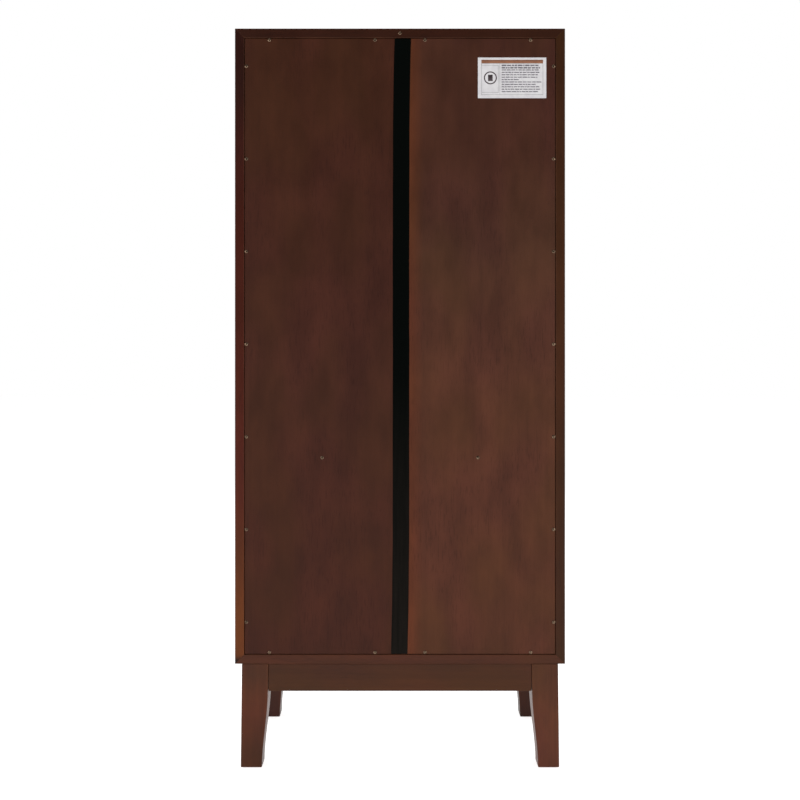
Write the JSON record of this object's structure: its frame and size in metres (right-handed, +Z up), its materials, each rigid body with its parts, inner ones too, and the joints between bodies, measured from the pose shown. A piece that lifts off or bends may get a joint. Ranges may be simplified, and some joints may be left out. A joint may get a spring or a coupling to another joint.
{
  "type": "shoe cabinet",
  "caption": "Tall dark-stained shoe cabinet on tapered legs, with two hinged doors, shelves inside and a taped two-piece back.",
  "frame": {"origin": "on the floor, under the middle of the whole object's box", "axes": "+Z up; the doors face -Y and the back panels face +Y; +X is to the right for someone facing the doors"},
  "size_m": [0.714, 0.4, 1.6],
  "materials": {
    "carcass_wood": "dark brown stain under satin lacquer, fine straight pores",
    "door_wood": "dark brown stained veneer under satin lacquer, vertical grain",
    "back_board": "thin brown faced board, low sheen, faint vertical grain",
    "shelf_board": "brown faced board, low sheen",
    "leg_wood": "reddish brown stain under satin lacquer",
    "raw_wood": "unfinished softwood, sawn",
    "black_tape": "matt black vinyl tape, finely ribbed",
    "label_paper": null,
    "hinge_steel": "plated steel, lightly brushed",
    "screw_steel": "blackened steel, satin",
    "knob_metal": "dark antique bronze, satin",
    "catch_plastic": "moulded brown plastic",
    "glide_plastic": "moulded nylon"
  },
  "bodies": {
    "cabinet": {"side_left": "carcass_wood", "back_panel_left": "back_board", "catch_left": "catch_plastic", "apron_left": "leg_wood", "frame_leaf_left_1": "hinge_steel", "hinge_pin_left_1": "hinge_steel", "frame_leaf_left_2": "hinge_steel", "hinge_pin_left_2": "hinge_steel", "frame_leaf_left_3": "hinge_steel", "hinge_pin_left_3": "hinge_steel", "side_right": "carcass_wood", "back_panel_right": "back_board", "catch_right": "catch_plastic", "apron_right": "leg_wood", "frame_leaf_right_1": "hinge_steel", "hinge_pin_right_1": "hinge_steel", "frame_leaf_right_2": "hinge_steel", "hinge_pin_right_2": "hinge_steel", "frame_leaf_right_3": "hinge_steel", "hinge_pin_right_3": "hinge_steel", "top_board": "carcass_wood", "bottom_board": "carcass_wood", "strap_screw": "screw_steel", "seam_tape": "black_tape", "info_label": "label_paper", "fixed_shelf": "shelf_board", "loose_shelf_1": "shelf_board", "loose_shelf_2": "shelf_board", "loose_shelf_3": "shelf_board", "loose_shelf_4": "shelf_board", "loose_shelf_5": "shelf_board", "apron_rear": "leg_wood", "apron_front": "leg_wood", "leg_rear_right": "leg_wood", "corner_brace_rear_right": "raw_wood", "foot_glide_rear_right": "glide_plastic", "leg_rear_left": "leg_wood", "corner_brace_rear_left": "raw_wood", "foot_glide_rear_left": "glide_plastic", "leg_front_right": "leg_wood", "corner_brace_front_right": "raw_wood", "foot_glide_front_right": "glide_plastic", "leg_front_left": "leg_wood", "corner_brace_front_left": "raw_wood", "foot_glide_front_left": "glide_plastic"},
    "left_door": {"door_left": "door_wood", "knob_left": "knob_metal", "knob_screw_left": "screw_steel", "strike_plate_left": "screw_steel", "door_leaf_left_1": "hinge_steel", "door_leaf_left_2": "hinge_steel", "door_leaf_left_3": "hinge_steel"},
    "right_door": {"door_right": "door_wood", "knob_right": "knob_metal", "knob_screw_right": "screw_steel", "strike_plate_right": "screw_steel", "door_leaf_right_1": "hinge_steel", "door_leaf_right_2": "hinge_steel", "door_leaf_right_3": "hinge_steel"}
  },
  "joints": [
    {"name": "right_door_hinge", "type": "hinge", "parent": "cabinet", "child": "right_door", "pos_m": [0.328, -0.1793, 0.913], "axis": [0, 0, 1], "range_deg": [0, 170]},
    {"name": "left_door_hinge", "type": "hinge", "parent": "cabinet", "child": "left_door", "pos_m": [-0.328, -0.1793, 0.913], "axis": [0, 0, -1], "range_deg": [0, 170]}
  ]
}
